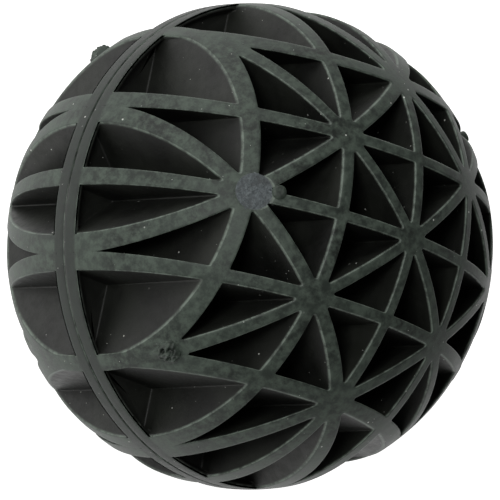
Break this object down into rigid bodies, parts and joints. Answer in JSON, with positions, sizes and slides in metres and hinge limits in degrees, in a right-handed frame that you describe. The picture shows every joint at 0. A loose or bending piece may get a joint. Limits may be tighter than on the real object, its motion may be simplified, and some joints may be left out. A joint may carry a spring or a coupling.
{
  "type": "friction ball",
  "caption": "Black rubber ball with a grid of upright fins cut to a sphere, two halves cemented at a rimmed seam; opens screwed watch case backs by friction",
  "frame": {"origin": "centre of the ball, in the seam plane between the two halves", "axes": "+Z towards the pole of the upper half, square to the seam; +X and +Y along the straight fins"},
  "size_m": [0.0634, 0.0634, 0.0636],
  "materials": {
    "rubber_black": "matte",
    "cement_black": "satin"
  },
  "bodies": {
    "root": {"upper_half": "rubber_black", "lower_half": "rubber_black", "cement_film": "cement_black"}
  },
  "joints": []
}
